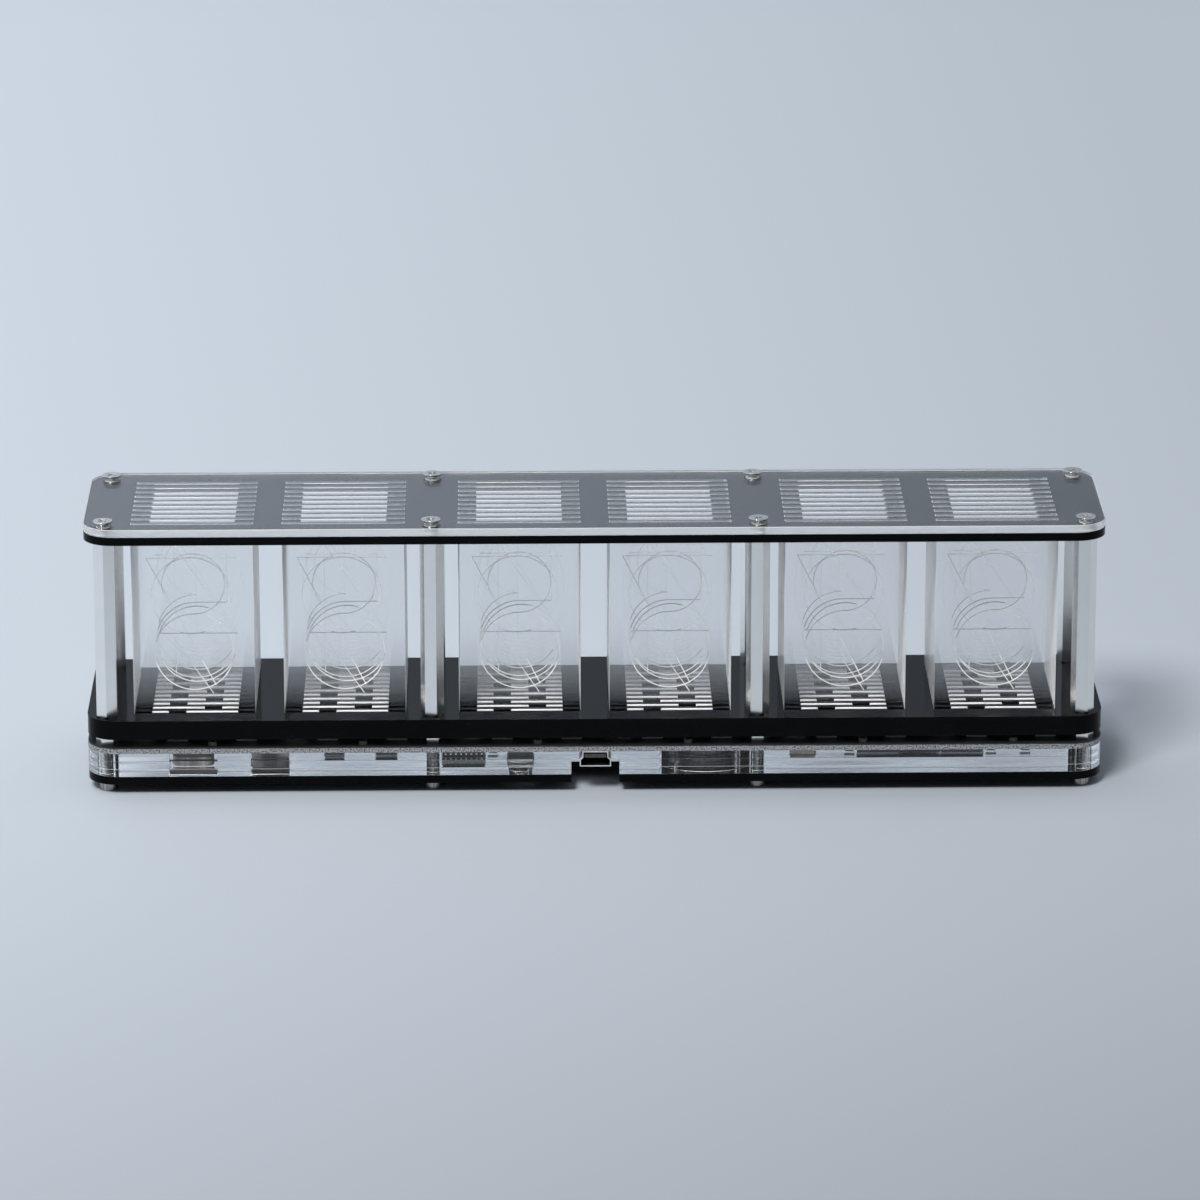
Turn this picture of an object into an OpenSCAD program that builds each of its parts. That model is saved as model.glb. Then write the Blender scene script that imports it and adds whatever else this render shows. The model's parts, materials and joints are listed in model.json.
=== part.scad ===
// Edge-lit six-digit desk clock: a stack of acrylic plates on posts, with ten clear numeral plates
// for each digit. Millimetres, +Z up, origin at the middle of the footprint on the table.
// The side with the power socket is at -Y and the reading side is at +Y.

/* [Plates] */
// Length of every stacked plate
plate_w = 250; // [246:1:290]
// Depth of every stacked plate
plate_d = 50; // [48:1:64]
// Corner radius of the plates
corner_r = 7.5; // [5.5:0.5:8.5]
// Thickness of the thin acrylic sheet
sheet_t = 2; // [1.9:0.1:2.6]
// Thickness of each of the two plates that hold the feet of the numeral plates
slot_plate_t = 2.4; // [1.8:0.1:3.6]
// Thickness of the circuit board
board_t = 1.6; // [1:0.1:2]

/* [Fasteners] */
// Distance from a screw's axis to the plate's edges
hole_inset = 5; // [4.5:0.1:5.6]
// Shank diameter of every screw
screw_d = 2.5; // [2:0.1:2.8]
// Hole in the plates for a screw
hole_d = 3.2; // [2.9:0.1:3.4]
// Width across flats of the posts
post_af = 5; // [4.6:0.1:6]
// Length of the posts
post_len = 45; // [38:1:60]
// Chamfer at both ends of a post
post_chamfer = 0.4; // [0.2:0.1:0.8]
// Width across flats of the nuts
nut_af = 5; // [4.6:0.1:5.5]
// Height of the nuts, which set the gap above the circuit board
nut_h = 2; // [1.9:0.1:3]
// Diameter of the screw heads that are the feet
foot_d = 4.5; // [4.2:0.1:5.5]
// Height of the screw heads that are the feet
foot_h = 2.5; // [1.6:0.1:4]
// Length of a base screw below its head
base_screw_len = 20; // [19:0.5:24]
// Diameter of the countersunk heads on the cover
cover_head_d = 4.8; // [4.4:0.1:5.4]
// Length of a cover screw, head included
cover_screw_len = 10; // [8:0.5:14]

/* [Digits] */
// Width of a numeral plate
numeral_w = 30; // [29:0.5:31]
// Thickness of a numeral plate
numeral_t = 2; // [1.5:0.1:2.2]
// Distance from one numeral plate to the next
numeral_pitch = 3.9; // [3.8:0.1:4.1]
// Distance between the two digits of a pair
digit_pitch = 37; // [36.5:0.5:39]
// Width of a foot of a numeral plate
tab_w = 4.6; // [3.6:0.1:4.8]
// Distance of the inner foot from the middle of a numeral plate
tab_inner = 4.35; // [4.2:0.05:4.6]
// Width of the open window in the comb plate above a digit
window_w = 21; // [16:0.5:24]

/* [Lamps] */
// Side of a lamp's square package
led_side = 5; // [4.5:0.1:5.2]
// Height of a lamp's package
led_h = 1.6; // [1:0.1:1.7]
// Diameter of a lamp's round well
led_well_d = 3.6; // [3:0.1:4]

/* [Power socket] */
// Outer width of the socket's shell
usb_w = 7.7; // [7.4:0.1:8]
// Outer height of the socket's shell
usb_h = 3.95; // [3.8:0.05:4]
// Length of the socket's shell
usb_len = 9.2; // [8.5:0.1:10]
// Wall of the socket's shell
usb_wall = 0.3; // [0.2:0.05:0.4]
// Width of the notch that clears a plug
plug_notch_w = 11.8; // [10:0.2:14]

/* [Key] */
// Side of the push switch
key_side = 6.2; // [5.8:0.1:6.6]
// Height of the switch without its plunger
key_body_h = 3.5; // [3.3:0.1:3.7]
// Depth of the plunger's tip inside the hole under the base
key_recess = 1.4; // [0.8:0.1:2]
// Diameter of the plunger
key_plunger_d = 3.5; // [3:0.1:3.8]
// Diameter of the hole under the base that the key is pressed through
key_hole_d = 6; // [5.8:0.1:6.4]

/* [Electronics] */
// Diameter of the coin cell
cell_d = 20; // [19:0.5:20.5]
// Thickness of the coin cell
cell_t = 3.2; // [2.5:0.1:3.4]
// Acrylic left between the plate's edge and the pockets for the electronics
edge_wall = 2.5; // [2:0.1:3]

/* [Hidden] */
$fn = 48;

// Clearances
slot_play = 0.1;
plunger_play = 0.2;
thread_play = 0.05;
pocket_play = 0.25;
seat_play = 0.02;
pocket_wall = 0.6;
past = 1;

// Levels of the stack, from the table upwards
bottom_z = foot_h;
layer_z = [for (i = [0:3]) bottom_z + (1 + i) * sheet_t];
board_z = layer_z[3];
board_top = board_z + board_t;
slot_z = board_top + nut_h;
upper_slot_z = slot_z + slot_plate_t;
deck_z = upper_slot_z + slot_plate_t;
comb_z = deck_z + post_len;
cover_z = comb_z + sheet_t;
cover_top = cover_z + sheet_t;

// Grid of the screws
columns = 4;
column_pitch = (plate_w - 2 * hole_inset) / (columns - 1);
column_x = [for (i = [0:columns - 1]) (i - (columns - 1) / 2) * column_pitch];
row_y = [-plate_d / 2 + hole_inset, plate_d / 2 - hole_inset];
bay_x = [-column_pitch, 0, column_pitch];

// Turn of the posts in each column, as they happened to be tightened
post_turn = [30, -8, -8, -8];
tap_runout = 2;
tapped_depth = max(base_screw_len - (deck_z - bottom_z), cover_screw_len - 2 * sheet_t) + tap_runout;

// Digits with one plate for each numeral, named as they are read from +Y, where +X is on the left
numerals = 10;
digit_x = [
  bay_x[2] + digit_pitch / 2, bay_x[2] - digit_pitch / 2,
  bay_x[1] + digit_pitch / 2, bay_x[1] - digit_pitch / 2,
  bay_x[0] + digit_pitch / 2, bay_x[0] - digit_pitch / 2
];
numeral_y = [for (i = [0:numerals - 1]) (i - (numerals - 1) / 2) * numeral_pitch];
numeral_depth = (numerals - 1) * numeral_pitch + numeral_t;
tab_outer = (numeral_w - tab_w) / 2;

// The inner foot changes sides from each plate to the next, and so do the two lamps under it
function side(i) = i % 2 == 0 ? -1 : 1;
function tab_x(i) = [-tab_outer, side(i) * tab_inner, tab_outer];
function led_x(i) = [side(i) * tab_inner, -side(i) * tab_outer];

// Electronics under the board, in rows that start behind the edge's wall
rear_y = -plate_d / 2;
pocket_y = rear_y + edge_wall;
gull_reach = 1.05;
gull_knee = 0.45;
lead_t = 0.2;
lead_pitch = 1.27;
lead_w = 0.42;
chip_standoff = 0.15;

// Chips with two rows of leads: [x, y, body length, body width, height, leads on a side]
clock_len = 10.3;
clock_wid = 7.5;
clock_h = 2.6;
clock_x = column_x[1] + hole_d / 2 + pocket_wall + pocket_play + clock_len / 2;
small_wid = 3.9;
small_h = 1.7;
driver_len = 9.9;
driver_gap = 0.5;
memory_len = 4.9;
memory_from_bay = 28.6;
memory_x = bay_x[0] + memory_from_bay;
clock_chip_at = dual_row(clock_x, clock_len, clock_wid, clock_h, 8);
driver_chips_at = [for (i = [-1:1])
  dual_row(bay_x[2] + i * (driver_len + driver_gap), driver_len, small_wid, small_h, 8)];
memory_chip_at = dual_row(memory_x, memory_len, small_wid, small_h, 4);
function dual_row(x, len, wid, h, n) =
  [x, pocket_y + pocket_play + gull_reach + wid / 2, len, wid, h, n];

// The square controller, behind the driver chips
controller_side = 7;
controller_h = 1.2;
controller_leads = 8;
controller_pitch = 0.8;
controller_at = [bay_x[2], controller_side / 2];

// Parts with their own pockets
crystal_len = 10.2;
crystal_wid = 3.8;
crystal_can_h = 3.5;
crystal_flange = 0.55;
crystal_flange_h = 0.5;
crystal_from_bay = -18.9;
crystal_at = [bay_x[0] + crystal_from_bay, pocket_y + pocket_play + crystal_flange + crystal_wid / 2];
buzzer_side = 9;
buzzer_h = 5;
buzzer_hole_d = 2;
buzzer_at = [bay_x[0], pocket_y + pocket_play + buzzer_side / 2];
regulator_size = [4.5, 2.5, 1.5];
regulator_lead = [0.5, 1, 0.4];
regulator_tab_w = 1.7;
regulator_lead_pitch = 1.5;
regulator_from_bay = 15.8;
regulator_at = [bay_x[0] + regulator_from_bay,
  pocket_y + pocket_play + regulator_lead[1] + regulator_size[1] / 2];
tantalum_size = [6, 3.2, 1.7];
tantalum_from_bay = -28.9;
tantalum_at = [bay_x[2] + tantalum_from_bay, pocket_y + pocket_play + tantalum_size[1] / 2];
capacitor_size = [2, 1.25, 1];
capacitor_y = pocket_y + pocket_play + capacitor_size[1] / 2;
capacitor_step = 2 * pocket_play + pocket_wall + capacitor_size[0] / 2;
driver_row_len = 3 * driver_len + 2 * driver_gap;
capacitor_far = 25.9;
capacitor_x = [clock_x + clock_len / 2 + capacitor_step, bay_x[2] - driver_row_len / 2 - capacitor_step,
  bay_x[2] + driver_row_len / 2 + capacitor_step, bay_x[2] + capacitor_far];

// Coin cell and its holder
holder_wall = 1.1;
holder_floor = 1;
holder_r = cell_d / 2 + pocket_play + holder_wall;
holder_lip = 0.4;
holder_h = holder_floor + cell_t + holder_lip;
holder_from_column = 12.7;
holder_at = [column_x[2] - holder_from_column, pocket_y + pocket_play + holder_r];

// Power socket
usb_chamfer = 0.65;
usb_knee = 1.5;
usb_slope = 45;
usb_tongue = [5.2, 6.2, 1];
usb_tongue_drop = 0.75;
usb_block_len = 2.4;
usb_contact = [0.42, 5.4, 0.16];
usb_contact_pitch = 0.8;
usb_contacts_n = 5;
usb_tongue_y = rear_y + usb_len - usb_wall - usb_block_len - usb_tongue[1];
plug_notch_d = usb_len + pocket_wall;

// Key
key_lead = [0.7, 1.1, 0.2];
key_from_capacitor = 6.75;
key_h = board_z - bottom_z - key_recess;
key_at = [capacitor_x[0] + key_from_capacitor, pocket_y + pocket_play + key_lead[1] + key_side / 2];
key_base_h = 1.5;
key_lead_x = 2.25;
key_well_d = 4.7;
key_well_floor = 0.7;
key_cover_wall = 0.4;
key_cover_inset = 0.1;
key_flange_d = 4.4;
key_dome_gap = 0.6;
key_dome_d = 4.2;
key_dome_t = 0.08;
key_dome_rise = 0.5;

acrylic_black = [0.03, 0.03, 0.035];
acrylic_clear = [0.86, 0.9, 0.93, 0.35];
nickel = [0.78, 0.78, 0.76];
chip_black = [0.1, 0.1, 0.11];

// Outlines shared by the plates
module plate_outline() {
  square([plate_w - 2 * corner_r, plate_d], center = true);
  square([plate_w, plate_d - 2 * corner_r], center = true);
  for (x = [-1, 1], y = [-1, 1])
    translate([x * (plate_w / 2 - corner_r), y * (plate_d / 2 - corner_r)])
      circle(corner_r);
}

module at_screws(z = 0) {
  for (x = column_x, y = row_y)
    translate([x, y, z])
      children();
}

module drilled_plate() {
  difference() {
    plate_outline();
    at_screws()
      circle(d = hole_d);
  }
}

module plug_notch(width) {
  translate([-width / 2, rear_y - past])
    square([width, plug_notch_d + past]);
}

module key_hole() {
  translate(key_at)
    circle(d = key_hole_d);
}

// A rectangular pocket around a part, with play all round
module pocket(at, length, width) {
  translate(at)
    square([length + 2 * pocket_play, width + 2 * pocket_play], center = true);
}

module chip_pocket(c) {
  pocket([c[0], c[1]], c[2], c[3] + 2 * gull_reach);
}

// Pockets that reach down through all three clear layers
module deep_pockets() {
  translate(holder_at)
    circle(r = holder_r + pocket_play);
  pocket(crystal_at, crystal_len + 2 * crystal_flange, crystal_wid + 2 * crystal_flange);
  pocket(buzzer_at, buzzer_side, buzzer_side);
}

// Pockets for the taller parts, in the upper two layers
module middle_pockets() {
  chip_pocket(clock_chip_at);
  pocket(key_at, key_side, key_side + 2 * key_lead[1]);
}

// Pockets for the flat parts, in the upper layer only
module shallow_pockets() {
  driver_pocket();
  chip_pocket(memory_chip_at);
  pocket(controller_at, controller_side + 2 * gull_reach, controller_side + 2 * gull_reach);
  pocket(regulator_at, regulator_size[0], regulator_size[1] + 2 * regulator_lead[1]);
  pocket(tantalum_at, tantalum_size[0], tantalum_size[1]);
  for (x = capacitor_x)
    pocket([x, capacitor_y], capacitor_size[0], capacitor_size[1]);
}

// One long pocket for the row of driver chips
module driver_pocket() {
  c = driver_chips_at[1];
  pocket([c[0], c[1]], driver_row_len, c[3] + 2 * gull_reach);
}

module bottom_plate() {
  color(acrylic_black)
    translate([0, 0, bottom_z])
      linear_extrude(sheet_t)
        difference() {
          drilled_plate();
          plug_notch(plug_notch_w);
          key_hole();
        }
}

module base_layer_lower() {
  color(acrylic_clear)
    translate([0, 0, layer_z[0]])
      linear_extrude(sheet_t)
        difference() {
          drilled_plate();
          plug_notch(plug_notch_w);
          key_hole();
          deep_pockets();
        }
}

module base_layer_middle() {
  color(acrylic_clear)
    translate([0, 0, layer_z[1]])
      linear_extrude(sheet_t)
        difference() {
          drilled_plate();
          plug_notch(plug_notch_w);
          deep_pockets();
          middle_pockets();
        }
}

module base_layer_upper() {
  color(acrylic_clear)
    translate([0, 0, layer_z[2]])
      linear_extrude(sheet_t)
        difference() {
          drilled_plate();
          plug_notch(usb_w + 2 * pocket_play);
          deep_pockets();
          middle_pockets();
          shallow_pockets();
        }
}

module circuit_board() {
  color([0.06, 0.07, 0.07])
    translate([0, 0, board_z])
      linear_extrude(board_t)
        drilled_plate();
}

// Slots for the feet of every numeral plate
module tab_slots() {
  for (x = digit_x, i = [0:numerals - 1], t = tab_x(i))
    translate([x + t, numeral_y[i]])
      square([tab_w + 2 * slot_play, numeral_t + 2 * slot_play], center = true);
}

module slot_plate(z) {
  color(acrylic_black)
    translate([0, 0, z])
      linear_extrude(slot_plate_t)
        difference() {
          drilled_plate();
          tab_slots();
        }
}

module lower_slot_plate() { slot_plate(slot_z); }

module upper_slot_plate() { slot_plate(upper_slot_z); }

// Windows over the digits, with a slot at each side for every numeral plate
module comb_plate() {
  color(acrylic_black)
    translate([0, 0, comb_z])
      linear_extrude(sheet_t)
        difference() {
          drilled_plate();
          for (x = digit_x)
            translate([x, 0]) {
              square([window_w, numeral_depth + 2 * slot_play], center = true);
              for (y = numeral_y)
                translate([0, y])
                  square([numeral_w + 2 * slot_play, numeral_t + 2 * slot_play], center = true);
            }
        }
}

module cover_plate() {
  color(acrylic_clear)
    translate([0, 0, cover_z])
      linear_extrude(sheet_t)
        drilled_plate();
}

// One numeral plate: a blank that stands on the deck, with three feet through the slots
module numeral_plate(i) {
  foot_len = deck_z - slot_z;
  rotate([90, 0, 0])
    translate([0, 0, -numeral_t / 2])
      linear_extrude(numeral_t) {
        translate([-numeral_w / 2, 0])
          square([numeral_w, cover_z - deck_z]);
        for (t = tab_x(i))
          translate([t - tab_w / 2, -foot_len])
            square([tab_w, foot_len]);
      }
}

module numeral_stack(digit) {
  color(acrylic_clear)
    for (i = [0:numerals - 1])
      translate([digit_x[digit], numeral_y[i], deck_z])
        numeral_plate(i);
}

module hours_tens_plates() { numeral_stack(0); }

module hours_units_plates() { numeral_stack(1); }

module minutes_tens_plates() { numeral_stack(2); }

module minutes_units_plates() { numeral_stack(3); }

module seconds_tens_plates() { numeral_stack(4); }

module seconds_units_plates() { numeral_stack(5); }

// A lamp: a square package with a round well for the emitter
module led() {
  well = 0.3;
  difference() {
    translate([-led_side / 2, -led_side / 2, 0])
      cube([led_side, led_side, led_h]);
    translate([0, 0, led_h - well])
      cylinder(d = led_well_d, h = well + past);
  }
}

module led_bank(digit) {
  color([0.9, 0.9, 0.86])
    for (i = [0:numerals - 1], x = led_x(i))
      translate([digit_x[digit] + x, numeral_y[i], board_top])
        led();
}

module hours_tens_leds() { led_bank(0); }

module hours_units_leds() { led_bank(1); }

module minutes_tens_leds() { led_bank(2); }

module minutes_units_leds() { led_bank(3); }

module seconds_tens_leds() { led_bank(4); }

module seconds_units_leds() { led_bank(5); }

// A ceramic capacitor with its two end caps
module capacitor() {
  cap_len = 0.45;
  skin = 0.04;
  s = capacitor_size;
  translate([-s[0] / 2, -s[1] / 2 + skin, skin])
    cube([s[0], s[1] - 2 * skin, s[2] - 2 * skin]);
  for (x = [-s[0] / 2, s[0] / 2 - cap_len])
    translate([x, -s[1] / 2, 0])
      cube([cap_len, s[1], s[2]]);
}

module led_capacitors() {
  edge_gap = 1.1;
  color([0.72, 0.66, 0.55])
    for (x = digit_x)
      translate([x + tab_inner, rear_y + edge_gap + capacitor_size[1] / 2, board_top])
        capacitor();
}

module underside_capacitors() {
  color([0.72, 0.66, 0.55])
    for (x = capacitor_x)
      translate([x, capacitor_y, board_z])
        mirror([0, 0, 1])
          capacitor();
}

// Hexagonal prism by its width across flats, with a point of the hexagon along X
module hexagon(af, h) {
  cylinder(d = af / cos(30), h = h, $fn = 6);
}

module base_nuts() {
  color(nickel)
    at_screws(board_top)
      difference() {
        hexagon(nut_af, nut_h);
        translate([0, 0, -past])
          cylinder(d = screw_d + 2 * thread_play, h = nut_h + 2 * past);
      }
}

// Hexagonal post, turned to a chamfer at both ends and tapped at both ends
module standoff() {
  corner = post_af / cos(30) / 2;
  turned = post_af / 2;
  difference() {
    intersection() {
      hexagon(post_af, post_len);
      rotate_extrude()
        polygon([
          [0, 0], [turned, 0], [corner, post_chamfer], [corner, post_len - post_chamfer],
          [turned, post_len], [0, post_len]
        ]);
    }
    for (z = [-past, post_len - tapped_depth])
      translate([0, 0, z])
        cylinder(d = screw_d + 2 * thread_play, h = tapped_depth + past);
  }
}

module standoffs() {
  color(nickel)
    for (i = [0:columns - 1], y = row_y)
      translate([column_x[i], y, deck_z])
        rotate([0, 0, post_turn[i]])
          standoff();
}

// Countersunk screws whose heads stand on the rims of the plain holes
module cover_screws() {
  rim = 0.4;
  slope = 0.75;
  cone_h = slope * (cover_head_d - screw_d) / 2;
  seat_d = hole_d - 2 * seat_play;
  head_top = rim + slope * (cover_head_d - seat_d) / 2;
  shank_end = head_top - cover_screw_len;
  recess = [2.7, 0.7, 0.75];
  color(nickel)
    at_screws(cover_top)
      difference() {
        rotate_extrude()
          polygon([
            [0, shank_end], [screw_d / 2, shank_end], [screw_d / 2, head_top - rim - cone_h],
            [cover_head_d / 2, head_top - rim], [cover_head_d / 2, head_top], [0, head_top]
          ]);
        for (turn = [45, 135])
          rotate([0, 0, turn])
            translate([-recess[0] / 2, -recess[1] / 2, head_top - recess[2]])
              cube([recess[0], recess[1], recess[2] + past]);
      }
}

// Long screws from below, whose cylindrical heads are the feet
module base_screws() {
  round_r = 0.5;
  key_af = 2;
  key_depth = 1.2;
  color(nickel)
    at_screws() {
      difference() {
        rotate_extrude() {
          translate([0, round_r])
            square([foot_d / 2, foot_h - round_r]);
          square([foot_d / 2 - round_r, foot_h]);
          translate([foot_d / 2 - round_r, round_r])
            intersection() {
              circle(round_r);
              translate([0, -round_r])
                square([round_r, round_r]);
            }
        }
        translate([0, 0, -past])
          hexagon(key_af, key_depth + past);
      }
      translate([0, 0, foot_h])
        cylinder(d = screw_d, h = base_screw_len);
    }
}

// Section of the socket's shell: narrow against the board, wide below, inset by a wall
module usb_section(inset) {
  wide = usb_w / 2 - inset;
  narrow = wide - usb_chamfer;
  knee = -usb_knee - inset * tan(usb_slope / 2);
  low = -usb_h + inset;
  polygon([
    [-narrow, -inset], [narrow, -inset], [narrow, knee], [wide, knee - usb_chamfer], [wide, low],
    [-wide, low], [-wide, knee - usb_chamfer], [-narrow, knee]
  ]);
}

// A prism of the socket's section, from one depth behind the plate's edge to another
module usb_prism(inset, from, to) {
  translate([0, rear_y + to, board_z])
    rotate([90, 0, 0])
      linear_extrude(to - from)
        usb_section(inset);
}

module usb_shell() {
  color(nickel)
    difference() {
      usb_prism(0, 0, usb_len);
      usb_prism(usb_wall, -past, usb_len - usb_wall);
    }
}

module usb_insulator() {
  color(chip_black) {
    usb_prism(usb_wall, usb_len - usb_wall - usb_block_len, usb_len - usb_wall);
    translate([-usb_tongue[0] / 2, usb_tongue_y, board_z - usb_tongue_drop - usb_tongue[2]])
      cube(usb_tongue);
  }
}

module usb_contacts() {
  setback = usb_tongue[1] - usb_contact[1];
  color(nickel)
    for (i = [0:usb_contacts_n - 1])
      translate([
        (i - (usb_contacts_n - 1) / 2) * usb_contact_pitch - usb_contact[0] / 2,
        usb_tongue_y + setback,
        board_z - usb_tongue_drop - usb_tongue[2] - usb_contact[2]
      ])
        cube(usb_contact);
}

// Places a part under the board, drawn with its depth below the board as +Z
module under_board(at) {
  translate([at[0], at[1], board_z])
    mirror([0, 0, 1])
      children();
}

module key_base() {
  color(chip_black)
    under_board(key_at)
      difference() {
        translate([-key_side / 2, -key_side / 2, 0])
          cube([key_side, key_side, key_base_h]);
        translate([0, 0, key_well_floor])
          cylinder(d = key_well_d, h = key_base_h);
      }
}

module key_cover() {
  cover_side = key_side - 2 * key_cover_inset;
  color(nickel)
    under_board(key_at)
      difference() {
        translate([-cover_side / 2, -cover_side / 2, key_base_h])
          cube([cover_side, cover_side, key_body_h - key_base_h]);
        translate([0, 0, key_base_h - past])
          cylinder(d = key_well_d, h = key_body_h - key_base_h + past - key_cover_wall);
        translate([0, 0, key_base_h])
          cylinder(d = key_plunger_d + 2 * plunger_play, h = key_body_h);
      }
}

// Plunger with the flange that keeps it in the switch
module key_plunger() {
  flange_top = key_well_floor + key_dome_gap;
  flange_low = key_body_h - key_cover_wall;
  color(chip_black)
    under_board(key_at) {
      translate([0, 0, flange_top])
        cylinder(d = key_flange_d, h = flange_low - flange_top);
      translate([0, 0, flange_low])
        cylinder(d = key_plunger_d, h = key_h - flange_low);
    }
}

// Snap dome that returns the plunger, as a thin shallow cap
module key_dome() {
  r = key_dome_d / 2;
  sphere_r = (r * r + key_dome_rise * key_dome_rise) / (2 * key_dome_rise);
  half = asin(r / sphere_r);
  steps = 10;
  arc = [for (i = [0:steps]) half * i / steps];
  centre = key_well_floor + key_dome_rise - sphere_r;
  color(nickel)
    under_board(key_at)
      rotate_extrude()
        polygon(concat(
          [for (a = arc) [sphere_r * sin(a), centre + sphere_r * cos(a)]],
          [[(sphere_r - key_dome_t) * sin(half), key_well_floor]],
          [for (i = [1:steps]) let (a = half - half * i / steps)
            [(sphere_r - key_dome_t) * sin(a), centre + (sphere_r - key_dome_t) * cos(a)]]
        ));
}

module key_leads() {
  color(nickel)
    under_board(key_at)
      for (x = [-key_lead_x, key_lead_x], y = [key_side / 2, -key_side / 2 - key_lead[1]])
        translate([x - key_lead[0] / 2, y, 0])
          cube(key_lead);
}

// Round holder, open below, with the cell seated on its floor under the board
module cell_holder() {
  slot_w = 6;
  color(chip_black)
    under_board(holder_at)
      difference() {
        cylinder(r = holder_r, h = holder_h);
        translate([0, 0, holder_floor])
          cylinder(d = cell_d + 2 * pocket_play, h = holder_h);
        translate([-slot_w / 2, 0, holder_floor])
          cube([slot_w, 2 * holder_r, holder_h]);
      }
}

module coin_cell() {
  lip = 0.6;
  lip_inset = 1.2;
  color(nickel)
    under_board(holder_at)
      translate([0, 0, holder_floor])
        rotate_extrude()
          polygon([
            [0, 0], [cell_d / 2 - lip_inset, 0], [cell_d / 2 - lip_inset, lip], [cell_d / 2, lip],
            [cell_d / 2, cell_t], [0, cell_t]
          ]);
}

// Spring strip that presses on the cell, folded over the open side of the holder
module cell_contact() {
  strip_w = 4;
  strip_t = 0.3;
  reach = 9;
  gap = 0.1;
  arm_y = cell_d / 2 + gap;
  color(nickel)
    under_board(holder_at)
      translate([-strip_w / 2, 0, 0]) {
        translate([0, arm_y, holder_floor])
          cube([strip_w, strip_t, cell_t + strip_t]);
        translate([0, arm_y + strip_t - reach, holder_floor + cell_t])
          cube([strip_w, reach, strip_t]);
      }
}

// Moulded chip body with drafted sides and a dot at the first lead, long side along X
module chip_body(len, wid, h) {
  draft = 0.12;
  mid = (chip_standoff + h) / 2;
  dot_d = 0.7;
  dot_depth = 0.1;
  dot_inset = 0.9;
  difference() {
    translate([-len / 2, 0, 0])
      rotate([90, 0, 90])
        linear_extrude(len)
          polygon([
            [-wid / 2 + draft, chip_standoff], [wid / 2 - draft, chip_standoff], [wid / 2, mid],
            [wid / 2 - draft, h], [-wid / 2 + draft, h], [-wid / 2, mid]
          ]);
    translate([-len / 2 + dot_inset, wid / 2 - dot_inset, h - dot_depth])
      cylinder(d = dot_d, h = dot_depth + past);
  }
}

// One bent lead that leaves a body at half its height and ends flat on the board, along +Y
module gull_lead(body_h, width) {
  mid = (chip_standoff + body_h) / 2;
  t = lead_t / 2;
  knee = gull_reach * gull_knee;
  translate([-width / 2, 0, 0])
    rotate([90, 0, 90])
      linear_extrude(width)
        polygon([
          [0, mid - t], [knee - t, mid - t], [knee - t, 0], [gull_reach, 0], [gull_reach, 2 * t],
          [knee + t, 2 * t], [knee + t, mid + t], [0, mid + t]
        ]);
}

module dual_row_chip(c) {
  under_board([c[0], c[1]])
    chip_body(c[2], c[3], c[4]);
}

module dual_row_leads(c) {
  under_board([c[0], c[1]])
    for (turn = [0, 180], i = [0:c[5] - 1])
      rotate([0, 0, turn])
        translate([(i - (c[5] - 1) / 2) * lead_pitch, c[3] / 2, 0])
          gull_lead(c[4], lead_w);
}

module clock_chip() { color(chip_black) dual_row_chip(clock_chip_at); }

module driver_chips() {
  color(chip_black)
    for (c = driver_chips_at)
      dual_row_chip(c);
}

module memory_chip() { color(chip_black) dual_row_chip(memory_chip_at); }

module controller_chip() {
  color(chip_black)
    under_board(controller_at)
      chip_body(controller_side, controller_side, controller_h);
}

module chip_leads() {
  square_lead_w = 0.35;
  color(nickel) {
    for (c = concat([clock_chip_at, memory_chip_at], driver_chips_at))
      dual_row_leads(c);
    under_board(controller_at)
      for (turn = [0:90:270], i = [0:controller_leads - 1])
        rotate([0, 0, turn])
          translate([(i - (controller_leads - 1) / 2) * controller_pitch, controller_side / 2, 0])
            gull_lead(controller_h, square_lead_w);
  }
}

// Small power regulator with a wide tab and three leads
module regulator() {
  s = regulator_size;
  lead = regulator_lead;
  color(chip_black)
    under_board(regulator_at) {
      translate([-s[0] / 2, -s[1] / 2, 0])
        cube(s);
      translate([-regulator_tab_w / 2, s[1] / 2, 0])
        cube([regulator_tab_w, lead[1], lead[2]]);
      for (i = [-1:1])
        translate([i * regulator_lead_pitch - lead[0] / 2, -s[1] / 2 - lead[1], 0])
          cube(lead);
    }
}

// Oval crystal can on its flange
module quartz_crystal() {
  color(nickel)
    under_board(crystal_at) {
      linear_extrude(crystal_flange_h)
        oval(crystal_len + 2 * crystal_flange, crystal_wid + 2 * crystal_flange);
      translate([0, 0, crystal_flange_h])
        linear_extrude(crystal_can_h)
          oval(crystal_len, crystal_wid);
    }
}

module oval(len, wid) {
  square([len - wid, wid], center = true);
  for (x = [-1, 1])
    translate([x * (len - wid) / 2, 0])
      circle(d = wid);
}

// Sounder: a square base with a round body and a hole in its face
module buzzer() {
  base_h = 1.6;
  hole_depth = 1;
  color(chip_black)
    under_board(buzzer_at)
      difference() {
        union() {
          translate([-buzzer_side / 2, -buzzer_side / 2, 0])
            cube([buzzer_side, buzzer_side, base_h]);
          cylinder(d = buzzer_side, h = buzzer_h);
        }
        translate([0, 0, buzzer_h - hole_depth])
          cylinder(d = buzzer_hole_d, h = hole_depth + past);
      }
}

// Moulded capacitor with a folded terminal at each end
module tantalum_capacitor() {
  s = tantalum_size;
  terminal = [0.15, 2.2, 1];
  body_len = s[0] - 2 * terminal[0];
  color([0.78, 0.7, 0.5])
    under_board(tantalum_at) {
      translate([-body_len / 2, -s[1] / 2, 0])
        cube([body_len, s[1], s[2]]);
      for (x = [-s[0] / 2, s[0] / 2 - terminal[0]])
        translate([x, -terminal[1] / 2, 0])
          cube(terminal);
    }
}

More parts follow.
